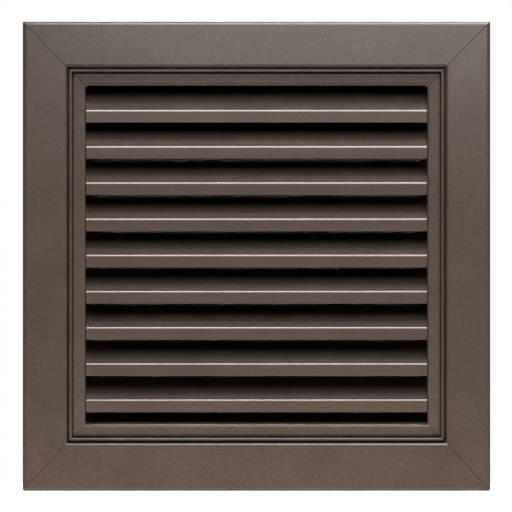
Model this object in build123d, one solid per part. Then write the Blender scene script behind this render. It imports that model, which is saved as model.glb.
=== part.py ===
from build123d import *
from collections import namedtuple
import math
import os

# Fixed-blade door louver in formed sheet steel, clamped into a square cut-out in a door.
# A mitred front frame carries a mitred core of Z-shaped blades. A mitred rear frame is drawn
# up to it by screws from the back, so that no fastener shows on the front.
# X points right, Y points from the front to the back, Z points up.
# The origin is the centre of the louver, in the middle of the door's thickness.

# Driving dimensions, in millimetres

# Overall size, and the door that the two frames clamp
overall_width = 362.0
overall_height = 363.5
door_thickness = 44.5

# Sheet and bends
sheet = 1.2
bend_inside = 1.0
edge_bend_inside = 1.8
corner_radius = 1.5

# Front and rear frames
head_flange = 35.3
jamb_flange = 34.1
sill_flange = 37.1
flange_depth = 5.0
quirk_width = 1.5
quirk_depth = 8.0
bead_depth = 3.2
hem_roundness = 0.9
sleeve_depth = 36.0
nest_gap = 0.3
nest_overlap = 8.0

# Core frame that holds the blades
core_recess = 6.5
core_face = 10.3
core_depth = 26.0
core_short_leg = 14.0
core_leg_margin = 1.0
core_lip = 4.0

# Blades
blade_count = 9
blade_first_drop = 19.5
blade_front_leg = 9.2
blade_run = 22.0
blade_rise = 20.0
blade_rear_leg = 6.0
blade_setback = 0.8
blade_end_gap = 0.5
baffle_drop = 9.3
baffle_foot_setback = 6.0

# Blade tabs, staked through slots in the core jambs
tab_width = 6.0
tab_spacing = 13.0
tab_stake = 1.2
tab_gap = 0.1

# Corner keys inside the flanges
key_sheet = 1.5
key_width = 20.0
key_length = 60.0
key_gap = 0.4
key_corner = 3.0

# Clamp screws and the clips that they turn into
screw_diameter = 3.5
screw_head = 6.5
screw_head_angle = 82.0
screw_past = 3.0
screw_offset = 100.0
screw_gap = 0.1
clip_sheet = 1.6
clip_width = 16.0
clip_foot = 12.0
clip_height = 8.7
clip_gap = 1.0

# Lugs of the front sleeve, bent in behind the core to hold it
lug_width = 14.0
lug_height = 4.5
lug_root = 2.0
lug_relief = 0.8
lug_gap = 0.05
lug_offset = 60.0

# Sizes that follow from the driving dimensions

bend_outside = bend_inside + sheet
edge_bend_outside = edge_bend_inside + sheet
front_y = -(door_thickness / 2 + flange_depth)
rear_y = -front_y
depth_margin = 2 * rear_y

# Offsets from the flange's inner edge, measured towards the middle of the louver
sleeve_offset = quirk_width + 2 * sheet
sleeve_back_offset = sleeve_offset - sheet
opening_offset = sleeve_offset + core_face
rear_leg_offset = sleeve_back_offset - nest_gap
screw_line_offset = rear_leg_offset - bend_outside - screw_head / 2 - screw_gap
mitre_offset = opening_offset + core_lip + sheet

# Bends of the bead, a hem pressed flat, and of the quirk round it
bead_bend = hem_roundness * sheet
quirk_bend = hem_roundness * quirk_width / 2

# Depths from the flange's face, measured towards the middle of the door
rear_leg_depth = 2 * rear_y - sleeve_depth + nest_overlap
clip_depth = 2 * rear_y - rear_leg_depth - clip_gap
screw_length = 2 * rear_y - clip_depth + clip_sheet + screw_past
lug_depth = core_recess + core_depth + bend_inside + lug_gap
core_deep_leg = blade_setback + blade_run + sheet + core_leg_margin

# Each side of the frame, clockwise from the head: its length, its outer edge's distance from the
# centre, the width of its flange and its turn about Y
Side = namedtuple("Side", "length edge flange turn")
SIDES = {
    "head": Side(overall_width, overall_height / 2, head_flange, 0),
    "jamb_right": Side(overall_height, overall_width / 2, jamb_flange, 90),
    "sill": Side(overall_width, overall_height / 2, sill_flange, 180),
    "jamb_left": Side(overall_height, overall_width / 2, jamb_flange, 270),
}
# Distance of each flange's inner edge from the centre
INNER_EDGES = {name: side.edge - side.flange for name, side in SIDES.items()}

# The opening, and the blades in it
opening_width = 2 * (INNER_EDGES["jamb_right"] - opening_offset)
opening_top = INNER_EDGES["head"] - opening_offset
opening_bottom = opening_offset - INNER_EDGES["sill"]
blade_y = front_y + core_recess + blade_setback
blade_field = opening_top - opening_bottom - blade_first_drop + baffle_drop
blade_pitch = blade_field / blade_count
blade_length = opening_width - 2 * blade_end_gap
blade_slope = math.atan2(blade_rise, blade_run)
web_length = math.hypot(blade_run, blade_rise)
blade_tabs = [(web_length - tab_spacing) / 2, (web_length + tab_spacing) / 2]

# The baffle behind the sill is the lowest blade, cut short by its foot
baffle_foot_top = baffle_drop + sheet
baffle_tabs = [(baffle_foot_top / math.sin(blade_slope) + web_length) / 2]


def strip_face(near_corners, near_bends, far_corners, far_bends):
    """The section of a folded strip, from the corners and bends of its two faces."""
    near = FilletPolyline(*near_corners, radius=near_bends)
    far = FilletPolyline(*far_corners, radius=far_bends)
    return make_face(near + Line(near @ 1, far @ 1) + far + Line(far @ 0, near @ 0))


def sheet_section(points, side, thickness=sheet):
    """The section of a folded sheet: one face's corners, thickened to the left (1) or right (-1)."""
    corners = [Vector(*point) for point in points]
    runs = [(end - start).normalized() for start, end in zip(corners, corners[1:])]
    normals = [Vector(-run.Y, run.X) * side for run in runs]
    far_corners = [corners[0] + normals[0] * thickness]
    near_bends, far_bends = [], []
    for index in range(1, len(runs)):
        before, after = normals[index - 1], normals[index]
        far_corners.append(corners[index] + (before + after) * (thickness / (1 + before.dot(after))))
        bends = [bend_inside + thickness, bend_inside]
        if runs[index - 1].cross(runs[index]).Z * side < 0:
            bends.reverse()
        near_bends.append(bends[0])
        far_bends.append(bends[1])
    far_corners.append(corners[-1] + normals[-1] * thickness)
    return strip_face(corners, near_bends, far_corners, far_bends)


def edge_plane(side, along=0.0):
    """A plane across a side laid as the head lies: its x runs inwards from the flange's inner edge,
    its y from front to back."""
    return Plane(origin=(along, front_y, INNER_EDGES[side]), x_dir=(0, 0, -1), z_dir=(1, 0, 0))


def mitred_rail(section, side):
    """A section run along one side of the frame, mitred at both ends. The mitre runs from the outer
    corner to the corner of the flanges' inner edges, and on from there at 45 degrees."""
    names = list(SIDES)
    place = names.index(side)
    length, edge, _, turn = SIDES[side]
    start = -INNER_EDGES[names[place - 1]]
    end = INNER_EDGES[names[(place + 1) % len(names)]]
    inner = INNER_EDGES[side]
    bar = extrude(edge_plane(side) * section, amount=length / 2, both=True)
    mitre = make_face(Polyline(
        (-length / 2, edge),
        (length / 2, edge),
        (end, inner),
        (end - mitre_offset, inner - mitre_offset),
        (start + mitre_offset, inner - mitre_offset),
        (start, inner),
        close=True,
    ))
    wedge = extrude(Plane.XZ * mitre, amount=depth_margin, both=True)
    outline = extrude(Plane.XZ * RectangleRounded(length, 2 * edge, corner_radius),
                      amount=depth_margin, both=True)
    return Rot(Y=turn) * (bar & wedge & outline)


def repeat_on_side(piece, side):
    """A piece modelled at the head, turned to one side of the frame."""
    return Rot(Y=SIDES[side].turn) * piece


def front_frame_section(flange):
    """Flange with its return to the door, the quirk inside it, the bead, and the sleeve."""
    near_corners = [
        (-flange, flange_depth),
        (-flange, 0),
        (0, 0),
        (0, quirk_depth),
        (quirk_width, quirk_depth),
        (quirk_width, bead_depth),
        (sleeve_offset, bead_depth),
        (sleeve_offset, sleeve_depth),
    ]
    near_bends = [edge_bend_outside, bend_outside, quirk_bend, quirk_bend, bead_bend, bead_bend]
    far_corners = [
        (sheet - flange, flange_depth),
        (sheet - flange, sheet),
        (-sheet, sheet),
        (-sheet, quirk_depth + sheet),
        (sleeve_back_offset, quirk_depth + sheet),
        (sleeve_back_offset, sleeve_depth),
    ]
    far_bends = [edge_bend_inside, bend_inside, quirk_bend + sheet, bend_inside]
    return strip_face(near_corners, near_bends, far_corners, far_bends)


def rear_frame_section(flange):
    """Flange with its return to the door, and the leg that nests over the front sleeve."""
    near_corners = [
        (-flange, flange_depth),
        (-flange, 0),
        (rear_leg_offset, 0),
        (rear_leg_offset, rear_leg_depth),
    ]
    far_corners = [
        (sheet - flange, flange_depth),
        (sheet - flange, sheet),
        (rear_leg_offset - sheet, sheet),
        (rear_leg_offset - sheet, rear_leg_depth),
    ]
    return strip_face(near_corners, [edge_bend_outside, bend_outside],
                      far_corners, [edge_bend_inside, bend_inside])


def core_section(is_jamb):
    """Channel with its outer leg on the sleeve and its inner leg round the opening. A jamb's inner
    leg is as deep as the blades, and ends in a lip behind them."""
    inner_end = core_recess + (core_deep_leg if is_jamb else core_short_leg)
    points = [
        (sleeve_offset, core_recess + core_depth),
        (sleeve_offset, core_recess),
        (opening_offset, core_recess),
        (opening_offset, inner_end),
    ]
    if is_jamb:
        points.append((opening_offset + core_lip, inner_end))
    return sheet_section(points, 1)


def screw_places(side):
    """Where the clamp screws' heads lie in the rear flange on one side."""
    return [Pos(along, rear_y, INNER_EDGES[side] - screw_line_offset)
            for along in (-screw_offset, screw_offset)]


def screw_body(gap=0.0, past_face=0.0):
    """A countersunk screw turned about Y, head face at Y = 0. For its hole it is grown by a gap,
    and its cone runs on past the face."""
    head_slope = math.tan(math.radians(screw_head_angle / 2))
    head_radius = screw_head / 2 + gap
    shank_radius = screw_diameter / 2 + gap
    half = make_face(Polyline(
        (0, past_face),
        (head_radius + past_face * head_slope, past_face),
        (shank_radius, -(head_radius - shank_radius) / head_slope),
        (shank_radius, -screw_length),
        (0, -screw_length),
        close=True,
    ))
    return revolve(half, axis=Axis.Y)


def screw_hole():
    """The cut that a clamp screw needs, in the rear flange and in its clip."""
    return screw_body(screw_gap, sheet)


def screw_clip(side, along):
    """A folded clip on the sleeve, with its tapped tab standing behind the flange."""
    points = [
        (sleeve_back_offset, clip_depth - clip_foot),
        (sleeve_back_offset, clip_depth),
        (sleeve_back_offset - clip_height, clip_depth),
    ]
    section = sheet_section(points, 1, clip_sheet)
    plate = extrude(edge_plane(side, along) * section, amount=clip_width / 2, both=True)
    return plate - Pos(along, rear_y, INNER_EDGES[side] - screw_line_offset) * screw_hole()


def sleeve_lug(side, along):
    """A tongue at the back of the sleeve, bent in behind the core, and the cut that frees it."""
    plane = edge_plane(side, along)
    root_depth = lug_depth - lug_root
    points = [
        (sleeve_offset, root_depth),
        (sleeve_offset, lug_depth),
        (sleeve_offset + lug_height, lug_depth),
    ]
    tongue = extrude(plane * sheet_section(points, 1), amount=lug_width / 2, both=True)
    cut_length = sleeve_depth - root_depth
    cut_outline = Pos(sleeve_offset, root_depth) * Rectangle(
        2 * sheet + lug_gap, cut_length + sheet, align=(Align.CENTER, Align.MIN))
    cut = extrude(plane * cut_outline, amount=lug_width / 2 + lug_relief, both=True)
    return tongue, cut


def front_frame(side):
    """One mitred rail of the front frame, with the lugs that hold the core."""
    rail = mitred_rail(front_frame_section(SIDES[side].flange), side)
    for along in (-lug_offset, lug_offset):
        tongue, cut = sleeve_lug(side, along)
        rail = rail - repeat_on_side(cut, side) + repeat_on_side(tongue, side)
    return rail


def rear_frame(side):
    """One mitred rail of the rear frame, countersunk for the clamp screws."""
    rail = mirror(mitred_rail(rear_frame_section(SIDES[side].flange), side), about=Plane.XZ)
    holes = Compound([place * screw_hole() for place in screw_places(side)])
    return rail - repeat_on_side(holes, side)


def tab_bars(distances, reach, gap):
    """Tabs, or with a gap their slots, as bars along X at distances up the web from a fold at Z = 0."""
    outline = Rot(Z=math.degrees(blade_slope)) * Rectangle(tab_width + 2 * gap, sheet + 2 * gap)
    bars = []
    for distance in distances:
        centre_y = distance * math.cos(blade_slope) + sheet / 2 * math.sin(blade_slope)
        centre_z = distance * math.sin(blade_slope) - sheet / 2 * math.cos(blade_slope)
        placed = Plane.YZ * (Pos(blade_y + centre_y, centre_z) * outline)
        bars.append(extrude(placed, amount=reach, both=True))
    return bars


def fold_height(index):
    """Height of the front fold of a blade, counted from 0 at the top."""
    return opening_top - blade_first_drop - index * blade_pitch


def core_rail(side):
    """One mitred rail of the core. The jambs have deep legs, slotted for the blades' tabs."""
    is_jamb = side.startswith("jamb")
    rail = mitred_rail(core_section(is_jamb), side)
    if is_jamb:
        slot_reach = opening_width / 2 + 2 * sheet
        for index in range(blade_count + 1):
            tabs = blade_tabs if index < blade_count else baffle_tabs
            rail -= [Pos(Z=fold_height(index)) * slot for slot in tab_bars(tabs, slot_reach, tab_gap)]
    return rail


def finish_blade(points, tabs):
    """A blade from its upper face's outline, with its fold at Z = 0 and its tabs on."""
    section = sheet_section(points, -1)
    body = extrude(Plane.YZ * section, amount=blade_length / 2, both=True)
    return body + tab_bars(tabs, opening_width / 2 + sheet + tab_stake, 0)


def blade():
    """A Z-shaped blade: front leg down, web up to the back, rear leg up."""
    web_back = blade_y + blade_run
    points = [
        (blade_y, -blade_front_leg),
        (blade_y, 0),
        (web_back, blade_rise),
        (web_back, blade_rise + blade_rear_leg),
    ]
    return finish_blade(points, blade_tabs)


def bottom_baffle():
    """The blade behind the sill: its front is a foot that lies on the sill's inner leg."""
    foot_back = blade_y + baffle_foot_top * blade_run / blade_rise
    web_back = blade_y + blade_run
    points = [
        (blade_y + baffle_foot_setback, baffle_foot_top),
        (foot_back, baffle_foot_top),
        (web_back, blade_rise),
        (web_back, blade_rise + blade_rear_leg),
    ]
    return finish_blade(points, baffle_tabs)


def corner_key():
    """An angle plate behind the front flange across the top right mitre."""
    inset = edge_bend_outside + key_gap
    corner_x = overall_width / 2 - inset
    corner_z = overall_height / 2 - inset
    outline = make_face(Polyline(
        (corner_x, corner_z),
        (corner_x - key_length, corner_z),
        (corner_x - key_length, corner_z - key_width),
        (corner_x - key_width, corner_z - key_width),
        (corner_x - key_width, corner_z - key_length),
        (corner_x, corner_z - key_length),
        close=True,
    ))
    outline = chamfer(outline.vertices().sort_by_distance((corner_x, corner_z))[0], key_corner)
    plate_plane = Plane(origin=(0, front_y + sheet, 0), x_dir=(1, 0, 0), z_dir=(0, -1, 0))
    return extrude(plate_plane * outline, amount=-key_sheet)


def mirrored_corners(piece):
    """The piece at each corner, from the one at the top right."""
    left = mirror(piece, about=Plane.YZ)
    return {
        "top_right": piece,
        "top_left": left,
        "bottom_right": mirror(piece, about=Plane.XY),
        "bottom_left": mirror(left, about=Plane.XY),
    }


def build_parts():
    """Every piece of the louver by name."""
    parts = {}
    for side in SIDES:
        parts[f"front_frame_{side}"] = front_frame(side)
        parts[f"core_{side}"] = core_rail(side)
        parts[f"rear_frame_{side}"] = rear_frame(side)

    slat = blade()
    for index in range(blade_count):
        parts[f"blade_{index + 1}"] = Pos(Z=fold_height(index)) * slat
    parts["bottom_baffle"] = Pos(Z=fold_height(blade_count)) * bottom_baffle()

    for corner, key in mirrored_corners(corner_key()).items():
        parts[f"front_corner_key_{corner}"] = key
        parts[f"rear_corner_key_{corner}"] = mirror(key, about=Plane.XZ)

    screws, clips = [], []
    for side in SIDES:
        screws += [repeat_on_side(place * screw_body(), side) for place in screw_places(side)]
        clips += [repeat_on_side(screw_clip(side, along), side)
                  for along in (-screw_offset, screw_offset)]
    parts["clamp_screws"] = Compound(screws)
    parts["screw_clips"] = Compound(clips)
    return parts


os.makedirs("parts", exist_ok=True)
for name, shape in build_parts().items():
    export_step(shape, f"parts/{name}.step")
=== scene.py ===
import math

import bmesh
import bpy
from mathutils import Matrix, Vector


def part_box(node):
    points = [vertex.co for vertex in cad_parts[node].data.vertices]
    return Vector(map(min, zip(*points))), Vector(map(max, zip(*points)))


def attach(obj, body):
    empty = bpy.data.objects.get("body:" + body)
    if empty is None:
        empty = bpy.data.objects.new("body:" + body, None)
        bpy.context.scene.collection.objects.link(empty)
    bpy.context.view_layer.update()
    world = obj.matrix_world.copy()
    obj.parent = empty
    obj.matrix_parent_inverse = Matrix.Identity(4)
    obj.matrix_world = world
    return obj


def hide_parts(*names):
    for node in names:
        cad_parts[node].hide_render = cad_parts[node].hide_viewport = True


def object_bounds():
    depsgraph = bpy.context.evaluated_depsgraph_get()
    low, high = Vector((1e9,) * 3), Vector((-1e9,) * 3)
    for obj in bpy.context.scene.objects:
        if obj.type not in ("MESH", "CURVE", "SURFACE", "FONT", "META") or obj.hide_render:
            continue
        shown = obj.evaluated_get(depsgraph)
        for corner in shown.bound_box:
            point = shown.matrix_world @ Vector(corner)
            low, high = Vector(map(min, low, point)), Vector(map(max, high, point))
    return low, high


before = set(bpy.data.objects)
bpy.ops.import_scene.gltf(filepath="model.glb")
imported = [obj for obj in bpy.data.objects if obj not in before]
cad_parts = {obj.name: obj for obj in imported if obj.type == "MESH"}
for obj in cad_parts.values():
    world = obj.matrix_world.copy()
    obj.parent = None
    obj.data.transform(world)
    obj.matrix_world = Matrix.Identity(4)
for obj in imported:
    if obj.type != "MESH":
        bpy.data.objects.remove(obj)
cad_low, cad_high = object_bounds()

# A door louver in dark bronze powder-coated sheet steel, in metres, standing on its lower edges.
# X points right, Y from the front to the back, Z up, with the origin in the middle of the louver.

# Sizes

mm = 0.001

# Sheet and bends
sheet = 1.2 * mm
bend_inside = 1.0 * mm
bend_outside = bend_inside + sheet
bend_steps = 7

# Rounding of cut edges, under the coat and under the thinner plating
edge_round = 0.22 * mm
plate_edge_round = 0.15 * mm
round_steps = 2
sharp_angle = math.radians(38)

# Grooves along the mitres, on slanting edges longer than the least
mitre_ease = 0.2 * mm
mitre_depth = 0.4 * mm
mitre_least = 3.0 * mm

# Limits within which points, planes and faces of the solids count as one
weld_distance = 0.001 * mm
plane_distance = 0.01 * mm
flat_angle = math.radians(0.5)

# Blades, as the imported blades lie
blade_count = 9
blade_front_leg = 9.2 * mm
blade_rear_leg = 6.0 * mm
blade_low, blade_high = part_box("blade_1")
blade_run = blade_high.y - blade_low.y - sheet
blade_rise = blade_high.z - blade_low.z - blade_front_leg - blade_rear_leg
blade_slope = math.atan2(blade_rise, blade_run)
web_length = math.hypot(blade_run, blade_rise)
blade_end_gap = 0.5 * mm
tab_stake = 1.2 * mm
tab_reach = blade_end_gap + sheet + tab_stake
blade_half_length = blade_high.x - tab_reach
tab_width = 6.0 * mm
tab_spacing = 13.0 * mm

# The baffle behind the sill: a blade cut short by the foot that lies on the sill
baffle_low, baffle_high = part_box("bottom_baffle")
baffle_fold = baffle_high.z - blade_rear_leg - blade_rise
baffle_foot_top = baffle_low.z + sheet - baffle_fold
baffle_foot_setback = baffle_low.y - blade_low.y

# Clamp screws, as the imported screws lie
screw_low, screw_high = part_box("clamp_screws")
screw_head_radius = 3.25 * mm
screw_shank_radius = 1.75 * mm
screw_root_radius = 1.38 * mm
screw_head_half_angle = math.radians(41)
screw_head_height = (screw_head_radius - screw_shank_radius) / math.tan(screw_head_half_angle)
screw_length = screw_high.y - screw_low.y
screw_tip_length = 2.6 * mm
screw_tip_radius = 0.5 * mm
screw_thread_pitch = 1.25 * mm
screw_smooth_neck = 5.0 * mm
screw_recess_span = 3.6 * mm
screw_recess_width = 0.75 * mm
screw_recess_depth = 1.3 * mm
screw_offset = 100.0 * mm
screw_edge_x = screw_high.x - screw_head_radius
screw_head_z = screw_high.z - screw_head_radius
screw_sill_z = screw_low.z + screw_head_radius
screw_head_sides = 40
screw_neck_sides = 28
screw_root_sides = 20
thread_turn_steps = 18
thread_ridge_sides = 4

# Relief of the coat, and the range of the grain's tone that spans its colours
peel_height = 0.02 * mm
peel_strength = 0.5
tone_low, tone_high = 0.3, 0.7

# The photographed view: 512 pixels across, with the louver's edges on these pixels
photo_pixels = 512
louver_left_pixel, louver_right_pixel = 22.7, 490.3
louver_top_pixel, louver_bottom_pixel = 21.3, 490.9
camera_distance = 8.0
sensor_width = 36.0

SIDES = ("head", "sill", "jamb_left", "jamb_right")
CORNERS = ("top_left", "top_right", "bottom_left", "bottom_right")


# Node helpers

def add_node(tree, kind, inputs=None, **settings):
    """A new node with its settings, its inputs set to values or linked from sockets."""
    node = tree.nodes.new(kind)
    for name, value in settings.items():
        setattr(node, name, value)
    for name, value in (inputs or {}).items():
        if isinstance(value, bpy.types.NodeSocket):
            tree.links.new(value, node.inputs[name])
        else:
            node.inputs[name].default_value = value
    return node


def new_tree(name, kind, inputs, outputs):
    """An empty node group with named sockets, given as name to kind of value."""
    tree = bpy.data.node_groups.new(name, kind)
    for direction, sockets in (("INPUT", inputs), ("OUTPUT", outputs)):
        for label, value_kind in sockets.items():
            tree.interface.new_socket(label, in_out=direction, socket_type=f"NodeSocket{value_kind}")
    return tree, tree.nodes.new("NodeGroupInput").outputs, tree.nodes.new("NodeGroupOutput").inputs


def math_node(tree, operation, first, second):
    """The result of one sum."""
    return add_node(tree, "ShaderNodeMath", {0: first, 1: second}, operation=operation).outputs[0]


# Finishes

def coat_grain_group():
    """Fine speckle, broad cloudiness and orange peel of a sprayed or plated coat."""
    tree, given, made = new_tree(
        "coat_grain", "ShaderNodeTree",
        {"Vector": "Vector", "Speckle Scale": "Float", "Cloud Scale": "Float", "Cloud Share": "Float",
         "Peel Scale": "Float"},
        {"Tone": "Float", "Peel": "Float"},
    )
    speckle = add_node(tree, "ShaderNodeTexNoise", {
        "Vector": given["Vector"], "Scale": given["Speckle Scale"], "Detail": 2.0, "Roughness": 0.6})
    cloud = add_node(tree, "ShaderNodeTexNoise", {
        "Vector": given["Vector"], "Scale": given["Cloud Scale"], "Detail": 3.0, "Roughness": 0.55})
    peel = add_node(tree, "ShaderNodeTexNoise", {
        "Vector": given["Vector"], "Scale": given["Peel Scale"], "Detail": 1.0, "Roughness": 0.4})
    tone = add_node(tree, "ShaderNodeMix", {
        "Factor": given["Cloud Share"], 2: speckle.outputs["Fac"], 3: cloud.outputs["Fac"]})
    tree.links.new(tone.outputs[0], made["Tone"])
    tree.links.new(peel.outputs["Fac"], made["Peel"])
    return tree


def new_material(name):
    """A material and its Principled shader."""
    material = bpy.data.materials.new(name)
    material.use_nodes = True
    return material, material.node_tree.nodes["Principled BSDF"]


def coated_metal(name, grain, scales, dark, light, rough, values):
    """A metal surface whose colour, gloss and relief follow the coat's grain."""
    material, shader = new_material(name)
    tree = material.node_tree
    place = add_node(tree, "ShaderNodeTexCoord")
    coat = tree.nodes.new("ShaderNodeGroup")
    coat.node_tree = grain
    tree.links.new(place.outputs["Object"], coat.inputs["Vector"])
    for label, value in scales.items():
        coat.inputs[label].default_value = value
    colour = add_node(tree, "ShaderNodeValToRGB", {"Fac": coat.outputs["Tone"]})
    for element, tone, shade in zip(colour.color_ramp.elements, (tone_low, tone_high), (dark, light)):
        element.position = tone
        element.color = (*shade, 1.0)
    gloss = add_node(tree, "ShaderNodeMapRange", {
        "Value": coat.outputs["Tone"], "From Min": tone_low, "From Max": tone_high,
        "To Min": rough[0], "To Max": rough[1]})
    relief = add_node(tree, "ShaderNodeBump", {
        "Height": coat.outputs["Peel"], "Strength": peel_strength, "Distance": peel_height})
    tree.links.new(colour.outputs["Color"], shader.inputs["Base Color"])
    tree.links.new(gloss.outputs["Result"], shader.inputs["Roughness"])
    tree.links.new(relief.outputs["Normal"], shader.inputs["Normal"])
    for label, value in values.items():
        shader.inputs[label].default_value = value
    return material


def make_finishes():
    """Each finish of the louver, by the record's slot."""
    grain = coat_grain_group()
    bronze = {"Speckle Scale": 650.0, "Cloud Scale": 26.0, "Cloud Share": 0.3, "Peel Scale": 1100.0}
    zinc = {"Speckle Scale": 320.0, "Cloud Scale": 90.0, "Cloud Share": 0.5, "Peel Scale": 500.0}
    dark_plate = {"Speckle Scale": 900.0, "Cloud Scale": 200.0, "Cloud Share": 0.4, "Peel Scale": 1500.0}
    clear = {"Coat Roughness": 0.1, "Coat IOR": 2.1}
    satin = {**clear, "Coat Roughness": 0.22}
    return {
        "frame_coat": coated_metal(
            "bronze_frame_coat", grain, bronze,
            dark=(0.079, 0.0535, 0.0400), light=(0.136, 0.0940, 0.0705), rough=(0.46, 0.54),
            values={"Specular IOR Level": 0.5, "Coat Weight": 0.5, **satin}),
        "core_coat": coated_metal(
            "bronze_core_coat", grain, bronze,
            dark=(0.088, 0.063, 0.048), light=(0.144, 0.104, 0.081), rough=(0.42, 0.54),
            values={"Specular IOR Level": 0.15, "Coat Weight": 0.25, **clear}),
        "blade_coat": coated_metal(
            "bronze_blade_coat", grain, bronze,
            dark=(0.098, 0.069, 0.053), light=(0.160, 0.114, 0.089), rough=(0.42, 0.54),
            values={"Specular IOR Level": 0.15, "Coat Weight": 1.0, **clear}),
        "zinc_plate": coated_metal(
            "zinc_plate", grain, zinc,
            dark=(0.42, 0.43, 0.44), light=(0.60, 0.61, 0.62), rough=(0.40, 0.58),
            values={"Metallic": 0.45}),
        "screw_coat": coated_metal(
            "bronze_screw_plate", grain, dark_plate,
            dark=(0.070, 0.052, 0.042), light=(0.115, 0.086, 0.068), rough=(0.28, 0.42),
            values={"Metallic": 0.8}),
    }


# Pieces

def new_blank(name, vertices, edges=()):
    """An object of bare vertices and edges, from which a piece is made."""
    mesh = bpy.data.meshes.new(name)
    mesh.from_pydata(vertices, edges, [])
    blank = bpy.data.objects.new(name, mesh)
    bpy.context.scene.collection.objects.link(blank)
    return blank


def round_edges(blank, width):
    """Rounds the cut edges, and keeps the shading of flat faces flat."""
    rounding = blank.modifiers.new("edge_round", "BEVEL")
    rounding.width = width
    rounding.segments = round_steps
    rounding.limit_method = "ANGLE"
    rounding.angle_limit = sharp_angle
    rounding.use_clamp_overlap = True
    shading = blank.modifiers.new("flat_faces", "WEIGHTED_NORMAL")
    shading.keep_sharp = True


def hand_over(blank, finish, slot, *nodes):
    """Makes a blank a plain mesh in one finish, and lets it stand for its CAD nodes."""
    graph = bpy.context.evaluated_depsgraph_get()
    mesh = bpy.data.meshes.new_from_object(blank.evaluated_get(graph), depsgraph=graph)
    blank.modifiers.clear()
    blank.data = mesh
    mesh.materials.clear()
    mesh.materials.append(finish)
    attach(blank, "root")
    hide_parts(*nodes)
    return blank


def ease_mitres(shell, face_y):
    """Files off a rail's slanting end edges on its flat face, so that each mitre shows as a fine groove."""
    inward = Vector((0.0, -math.copysign(1.0, face_y), 0.0))
    planes = []
    for edge in shell.edges:
        start, end = (vertex.co.copy() for vertex in edge.verts)
        is_flat = max(abs(start.y - face_y), abs(end.y - face_y)) < plane_distance
        if is_flat and min(abs(end.x - start.x), abs(end.z - start.z)) > mitre_least:
            mitre_face = min(edge.link_faces, key=lambda face: abs(face.normal.y))
            outward = mitre_face.normal.copy()
            normal = (end - start).cross(inward * mitre_depth + outward * mitre_ease).normalized()
            if normal.dot(outward) < 0:
                normal.negate()
            planes.append((start - outward * mitre_ease, normal))
    for point, normal in planes:
        parts = [*shell.verts, *shell.edges, *shell.faces]
        cut = bmesh.ops.bisect_plane(shell, geom=parts, plane_co=point, plane_no=normal, clear_outer=True)
        rim = [part for part in cut["geom_cut"] if isinstance(part, bmesh.types.BMEdge)]
        bmesh.ops.contextual_create(shell, geom=rim)


def coated_copy(node, finishes, slot, edge_width, face_y=None):
    """A solid of the frame, with its flat faces whole and its cut edges rounded. A mitred rail is
    given the Y of its flat face."""
    blank = new_blank(f"{node}_coated", [])
    shell = bmesh.new()
    shell.from_mesh(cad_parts[node].data)
    bmesh.ops.remove_doubles(shell, verts=shell.verts, dist=weld_distance)
    bmesh.ops.dissolve_limit(shell, angle_limit=flat_angle, verts=shell.verts, edges=shell.edges)
    if face_y is not None:
        ease_mitres(shell, face_y)
    for face in shell.faces:
        face.smooth = True
        face.material_index = 0
    shell.to_mesh(blank.data)
    shell.free()
    round_edges(blank, edge_width)
    hand_over(blank, finishes[slot], slot, node)


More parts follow.
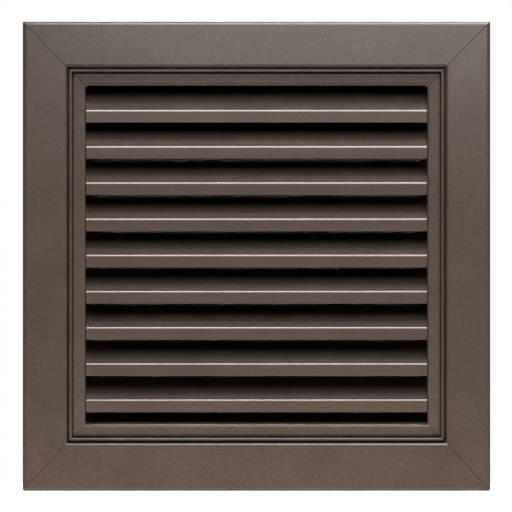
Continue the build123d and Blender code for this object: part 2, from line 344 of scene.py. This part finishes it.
def folded_sheet_tree():
    """A strip folded along a line of corners, run out along X, with staking tabs on its ends."""
    tree, given, made = new_tree(
        "folded_sheet", "GeometryNodeTree",
        {"Geometry": "Geometry", "Length": "Float", "Bend Steps": "Int", "Tab Reach": "Float",
         "Tab Width": "Float", "Slope": "Float", "Coat": "Material"},
        {"Geometry": "Geometry"},
    )
    bend = add_node(tree, "GeometryNodeInputNamedAttribute", {"Name": "bend"}, data_type="FLOAT")
    line = add_node(tree, "GeometryNodeMeshToCurve", {"Mesh": given["Geometry"]})
    folds = add_node(tree, "GeometryNodeFilletCurve", {
        "Curve": line.outputs["Curve"], "Radius": bend.outputs["Attribute"],
        "Count": given["Bend Steps"], "Limit Radius": True}, mode="POLY")
    profile = add_node(tree, "GeometryNodeCurveToMesh", {"Curve": folds.outputs["Curve"]})
    reach = add_node(tree, "ShaderNodeCombineXYZ", {"X": given["Length"]})
    strip = add_node(tree, "GeometryNodeExtrudeMesh", {
        "Mesh": profile.outputs["Mesh"], "Offset": reach.outputs["Vector"],
        "Offset Scale": 1.0}, mode="EDGES")
    back = add_node(tree, "ShaderNodeCombineXYZ", {"X": math_node(tree, "MULTIPLY", given["Length"], -0.5)})
    centred = add_node(tree, "GeometryNodeTransform", {
        "Geometry": strip.outputs["Mesh"], "Translation": back.outputs["Vector"]})

    is_tab = add_node(tree, "GeometryNodeInputNamedAttribute", {"Name": "tab"}, data_type="BOOLEAN")
    tab_points = add_node(tree, "GeometryNodeMeshToPoints", {
        "Mesh": given["Geometry"], "Selection": is_tab.outputs["Attribute"]})
    tab = add_node(tree, "GeometryNodeMeshGrid", {
        "Size X": given["Tab Reach"], "Size Y": given["Tab Width"], "Vertices X": 2, "Vertices Y": 2})
    tilt = add_node(tree, "ShaderNodeCombineXYZ", {"X": given["Slope"]})
    tilted = add_node(tree, "GeometryNodeTransform", {
        "Geometry": tab.outputs["Mesh"], "Rotation": tilt.outputs["Vector"]})
    tabs = add_node(tree, "GeometryNodeInstanceOnPoints", {
        "Points": tab_points.outputs["Points"], "Instance": tilted.outputs["Geometry"]})

    whole = tree.nodes.new("GeometryNodeJoinGeometry")
    tree.links.new(centred.outputs["Geometry"], whole.inputs[0])
    tree.links.new(tabs.outputs["Instances"], whole.inputs[0])
    real = add_node(tree, "GeometryNodeRealizeInstances", {"Geometry": whole.outputs["Geometry"]})
    smooth = add_node(tree, "GeometryNodeSetShadeSmooth", {"Geometry": real.outputs["Geometry"]})
    coated = add_node(tree, "GeometryNodeSetMaterial", {
        "Geometry": smooth.outputs["Geometry"], "Material": given["Coat"]})
    tree.links.new(coated.outputs["Geometry"], made["Geometry"])
    return tree


def run_tree(blank, tree, values):
    """Gives a blank a geometry tree with its inputs set by name."""
    modifier = blank.modifiers.new(tree.name, "NODES")
    modifier.node_group = tree
    for item in tree.interface.items_tree:
        if item.in_out == "INPUT" and item.name in values:
            modifier[item.identifier] = values[item.name]


def blade_piece(node, tree, finishes, corners, bends, tab_distances, fold_z):
    """One folded blade: corners of its upper face from the front, as Y and Z from the fold."""
    vertices = [(0.0, blade_low.y + y, fold_z + z) for y, z in corners]
    edges = [(index, index + 1) for index in range(len(corners) - 1)]
    tab_x = blade_half_length + tab_reach / 2
    for distance in tab_distances:
        y = blade_low.y + distance * math.cos(blade_slope)
        z = fold_z + distance * math.sin(blade_slope)
        vertices += [(-tab_x, y, z), (tab_x, y, z)]
    blank = new_blank(f"{node}_coated", vertices, edges)
    bend = blank.data.attributes.new("bend", "FLOAT", "POINT")
    tab = blank.data.attributes.new("tab", "BOOLEAN", "POINT")
    for index in range(len(vertices)):
        is_bend = 0 < index < len(corners) - 1
        bend.data[index].value = bends[index - 1] if is_bend else 0.0
        tab.data[index].value = index >= len(corners)
    run_tree(blank, tree, {
        "Length": 2 * blade_half_length, "Bend Steps": bend_steps, "Tab Reach": tab_reach,
        "Tab Width": tab_width, "Slope": blade_slope, "Coat": finishes["blade_coat"]})
    wall = blank.modifiers.new("sheet", "SOLIDIFY")
    wall.thickness = sheet
    wall.offset = -1.0
    wall.use_even_offset = True
    round_edges(blank, edge_round)
    hand_over(blank, finishes["blade_coat"], "blade_coat", node)


def make_blades(finishes):
    """The row of blades, and the baffle below them."""
    tree = folded_sheet_tree()
    rear = [(blade_run, blade_rise), (blade_run, blade_rise + blade_rear_leg)]
    corners = [(0.0, -blade_front_leg), (0.0, 0.0)] + rear
    tabs = [(web_length - tab_spacing) / 2, (web_length + tab_spacing) / 2]
    for index in range(blade_count):
        node = f"blade_{index + 1}"
        fold_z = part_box(node)[0].z + blade_front_leg
        blade_piece(node, tree, finishes, corners, (bend_outside, bend_inside), tabs, fold_z)
    foot_back = baffle_foot_top * blade_run / blade_rise
    corners = [(baffle_foot_setback, baffle_foot_top), (foot_back, baffle_foot_top)] + rear
    tabs = [(baffle_foot_top / math.sin(blade_slope) + web_length) / 2]
    blade_piece("bottom_baffle", tree, finishes, corners, (bend_inside, bend_inside), tabs, baffle_fold)


def screw_tree():
    """Countersunk screws with a cross recess and a thread, one at each point, along -Y."""
    tree, given, made = new_tree(
        "clamp_screw", "GeometryNodeTree",
        {"Geometry": "Geometry", "Head Radius": "Float", "Head Height": "Float", "Shank Radius": "Float",
         "Root Radius": "Float", "Neck Length": "Float", "Thread Length": "Float", "Thread Pitch": "Float",
         "Tip Length": "Float", "Tip Radius": "Float", "Recess Span": "Float", "Recess Width": "Float",
         "Recess Depth": "Float", "Coat": "Material"},
        {"Geometry": "Geometry"},
    )
    head = add_node(tree, "GeometryNodeMeshCone", {
        "Vertices": screw_head_sides, "Radius Bottom": given["Head Radius"],
        "Radius Top": given["Shank Radius"], "Depth": given["Head Height"]})
    depth = math_node(tree, "MULTIPLY", given["Recess Depth"], 2.0)
    along = add_node(tree, "ShaderNodeCombineXYZ", {
        "X": given["Recess Span"], "Y": given["Recess Width"], "Z": depth})
    across = add_node(tree, "ShaderNodeCombineXYZ", {
        "X": given["Recess Width"], "Y": given["Recess Span"], "Z": depth})
    slot_along = add_node(tree, "GeometryNodeMeshCube", {"Size": along.outputs["Vector"]})
    slot_across = add_node(tree, "GeometryNodeMeshCube", {"Size": across.outputs["Vector"]})
    recessed = add_node(tree, "GeometryNodeMeshBoolean", {"Mesh 1": head.outputs["Mesh"]},
                        operation="DIFFERENCE", solver="EXACT")
    tree.links.new(slot_along.outputs["Mesh"], recessed.inputs["Mesh 2"])
    tree.links.new(slot_across.outputs["Mesh"], recessed.inputs["Mesh 2"])

    def shifted(mesh, distance):
        """A mesh moved down the screw."""
        place = add_node(tree, "ShaderNodeCombineXYZ", {"Z": distance})
        return add_node(tree, "GeometryNodeTransform", {
            "Geometry": mesh, "Translation": place.outputs["Vector"]}).outputs["Geometry"]

    neck = add_node(tree, "GeometryNodeMeshCone", {
        "Vertices": screw_neck_sides, "Radius Bottom": given["Shank Radius"],
        "Radius Top": given["Shank Radius"], "Depth": given["Neck Length"]})
    core = add_node(tree, "GeometryNodeMeshCone", {
        "Vertices": screw_root_sides, "Radius Bottom": given["Root Radius"],
        "Radius Top": given["Root Radius"], "Depth": given["Thread Length"]})
    tip = add_node(tree, "GeometryNodeMeshCone", {
        "Vertices": screw_root_sides, "Radius Bottom": given["Root Radius"],
        "Radius Top": given["Tip Radius"], "Depth": given["Tip Length"]})
    neck_end = math_node(tree, "ADD", given["Head Height"], given["Neck Length"])
    thread_end = math_node(tree, "ADD", neck_end, given["Thread Length"])

    crest = math_node(tree, "SUBTRACT", given["Shank Radius"], given["Root Radius"])
    turns = math_node(tree, "DIVIDE", given["Thread Length"], given["Thread Pitch"])
    helix = add_node(tree, "GeometryNodeCurveSpiral", {
        "Resolution": thread_turn_steps, "Rotations": turns,
        "Start Radius": given["Root Radius"], "End Radius": given["Root Radius"],
        "Height": given["Thread Length"]})
    ridge = add_node(tree, "GeometryNodeCurvePrimitiveCircle", {
        "Resolution": thread_ridge_sides, "Radius": crest})
    thread = add_node(tree, "GeometryNodeCurveToMesh", {
        "Curve": helix.outputs["Curve"], "Profile Curve": ridge.outputs["Curve"], "Fill Caps": True})

    whole = tree.nodes.new("GeometryNodeJoinGeometry")
    for mesh in (recessed.outputs["Mesh"], shifted(neck.outputs["Mesh"], given["Head Height"]),
                 shifted(core.outputs["Mesh"], neck_end), shifted(tip.outputs["Mesh"], thread_end),
                 shifted(thread.outputs["Mesh"], neck_end)):
        tree.links.new(mesh, whole.inputs[0])
    laid = add_node(tree, "GeometryNodeTransform", {
        "Geometry": whole.outputs["Geometry"], "Rotation": (math.pi / 2, 0.0, 0.0)})
    points = add_node(tree, "GeometryNodeMeshToPoints", {"Mesh": given["Geometry"]})
    row = add_node(tree, "GeometryNodeInstanceOnPoints", {
        "Points": points.outputs["Points"], "Instance": laid.outputs["Geometry"]})
    real = add_node(tree, "GeometryNodeRealizeInstances", {"Geometry": row.outputs["Instances"]})
    coated = add_node(tree, "GeometryNodeSetMaterial", {
        "Geometry": real.outputs["Geometry"], "Material": given["Coat"]})
    tree.links.new(coated.outputs["Geometry"], made["Geometry"])
    return tree


def make_screws(finishes):
    """The clamp screws in the rear flange, two to a side."""
    places = []
    for along in (-screw_offset, screw_offset):
        places += [(along, cad_high.y, screw_sill_z), (along, cad_high.y, screw_head_z)]
        places += [(-screw_edge_x, cad_high.y, along), (screw_edge_x, cad_high.y, along)]
    blank = new_blank("clamp_screws_plated", places)
    thread_length = screw_length - screw_head_height - screw_smooth_neck - screw_tip_length
    run_tree(blank, screw_tree(), {
        "Head Radius": screw_head_radius, "Head Height": screw_head_height,
        "Shank Radius": screw_shank_radius, "Root Radius": screw_root_radius,
        "Neck Length": screw_smooth_neck, "Thread Length": thread_length,
        "Thread Pitch": screw_thread_pitch, "Tip Length": screw_tip_length,
        "Tip Radius": screw_tip_radius, "Recess Span": screw_recess_span,
        "Recess Width": screw_recess_width, "Recess Depth": screw_recess_depth,
        "Coat": finishes["screw_coat"]})
    screws = hand_over(blank, finishes["screw_coat"], "screw_coat", "clamp_screws")
    screws.data.shade_smooth()
    screws.data.set_sharp_from_angle(angle=sharp_angle)


def make_pieces(finishes):
    """Every piece of the louver in its finish."""
    for side in SIDES:
        core_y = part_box(f"core_{side}")[0].y
        coated_copy(f"front_frame_{side}", finishes, "frame_coat", edge_round, cad_low.y)
        coated_copy(f"core_{side}", finishes, "core_coat", edge_round, core_y)
        coated_copy(f"rear_frame_{side}", finishes, "frame_coat", edge_round, cad_high.y)
    make_blades(finishes)
    for corner in CORNERS:
        coated_copy(f"front_corner_key_{corner}", finishes, "zinc_plate", plate_edge_round)
        coated_copy(f"rear_corner_key_{corner}", finishes, "zinc_plate", plate_edge_round)
    coated_copy("screw_clips", finishes, "zinc_plate", plate_edge_round)
    make_screws(finishes)


# Studio

def make_floor():
    """A plain pale floor at the louver's foot."""
    floor_width, floor_front, floor_back = 2.0, -0.9, 0.25
    mesh = bpy.data.meshes.new("studio_floor")
    corners = [(-floor_width, floor_front), (floor_width, floor_front),
               (floor_width, floor_back), (-floor_width, floor_back)]
    mesh.from_pydata([(x, y, cad_low.z) for x, y in corners], [], [(0, 1, 2, 3)])
    floor = bpy.data.objects.new("studio_floor", mesh)
    bpy.context.scene.collection.objects.link(floor)
    material, shader = new_material("pale_floor")
    shader.inputs["Base Color"].default_value = (0.86, 0.86, 0.86, 1.0)
    shader.inputs["Roughness"].default_value = 0.8
    shader.inputs["Emission Color"].default_value = (1.0, 1.0, 1.0, 1.0)
    shader.inputs["Emission Strength"].default_value = 0.72
    mesh.materials.append(material)
    floor.visible_diffuse = False
    floor.visible_glossy = False
    floor.visible_shadow = False


def softbox(name, place, size, radiance, in_matt=True, in_gloss=True, bounced=True):
    """An area light at a place, turned to the louver's middle, with one radiance over its face. A fill
    light isn't mirrored in the gloss, a sheen light is seen in the gloss alone, and a light that isn't
    bounced leaves the slots between the blades dark."""
    light = bpy.data.lights.new(name, "AREA")
    light.shape = "RECTANGLE"
    light.size, light.size_y = size
    light.energy = radiance * math.pi * size[0] * size[1]
    if not bounced:
        light.cycles.max_bounces = 0
    lamp = bpy.data.objects.new(name, light)
    lamp.location = place
    lamp.rotation_euler = Vector(place).to_track_quat("Z", "Y").to_euler()
    lamp.visible_camera = False
    lamp.visible_diffuse = in_matt
    lamp.visible_glossy = in_gloss
    bpy.context.scene.collection.objects.link(lamp)


def make_studio():
    """White surroundings that are seen but give no light, and the softboxes that light the louver."""
    scene = bpy.context.scene
    scene.view_settings.view_transform = "Standard"
    world = bpy.data.worlds.new("white_studio")
    world.use_nodes = True
    scene.world = world
    tree = world.node_tree
    background = tree.nodes["Background"]
    path = add_node(tree, "ShaderNodeLightPath")
    tree.links.new(path.outputs["Is Camera Ray"], background.inputs["Strength"])
    background.inputs["Color"].default_value = (1.0, 1.0, 1.0, 1.0)
    make_floor()
    softbox("overhead_softbox", (0.11, -0.27, 0.72), (0.6, 0.17), 11.5)
    softbox("key_softbox", (0.14, -0.514, 0.613), (0.9, 0.2), 2.0)
    softbox("front_softbox", (0.197, -0.925, 0.739), (0.8, 0.5), 2.5)
    softbox("crown_softbox", (0.08, -0.75, 0.26), (0.5, 0.2), 1.55, in_matt=False)
    softbox("level_softbox", (0.14, -0.783, 0.166), (0.9, 0.165), 0.2, in_matt=False)
    softbox("low_softbox", (0.0, -0.30, -0.45), (0.9, 0.25), 5.6, in_gloss=False, bounced=False)
    softbox("back_softbox", (-0.60, 1.90, 1.73), (2.2, 0.24), 32.0, bounced=False)
    softbox("left_softbox", (-0.80, 0.05, 0.12), (0.3, 0.7), 3.5, in_gloss=False)
    softbox("right_softbox", (0.80, 0.05, 0.12), (0.3, 0.7), 3.5, in_gloss=False)


def make_camera():
    """A long lens straight in front, framed as the photo is."""
    camera = bpy.data.cameras.new("front_camera")
    pixel_size = (cad_high.x - cad_low.x) / (louver_right_pixel - louver_left_pixel)
    view_width = photo_pixels * pixel_size
    right = (photo_pixels - louver_left_pixel - louver_right_pixel) / 2 * pixel_size
    up = (louver_top_pixel + louver_bottom_pixel - photo_pixels) / 2 * pixel_size
    camera.sensor_width = sensor_width
    camera.lens = sensor_width * camera_distance / view_width
    holder = bpy.data.objects.new("front_camera", camera)
    holder.location = (right, cad_low.y - camera_distance, up)
    holder.rotation_euler = (math.pi / 2, 0.0, 0.0)
    bpy.context.scene.collection.objects.link(holder)
    bpy.context.scene.camera = holder


make_pieces(make_finishes())
make_studio()
make_camera()
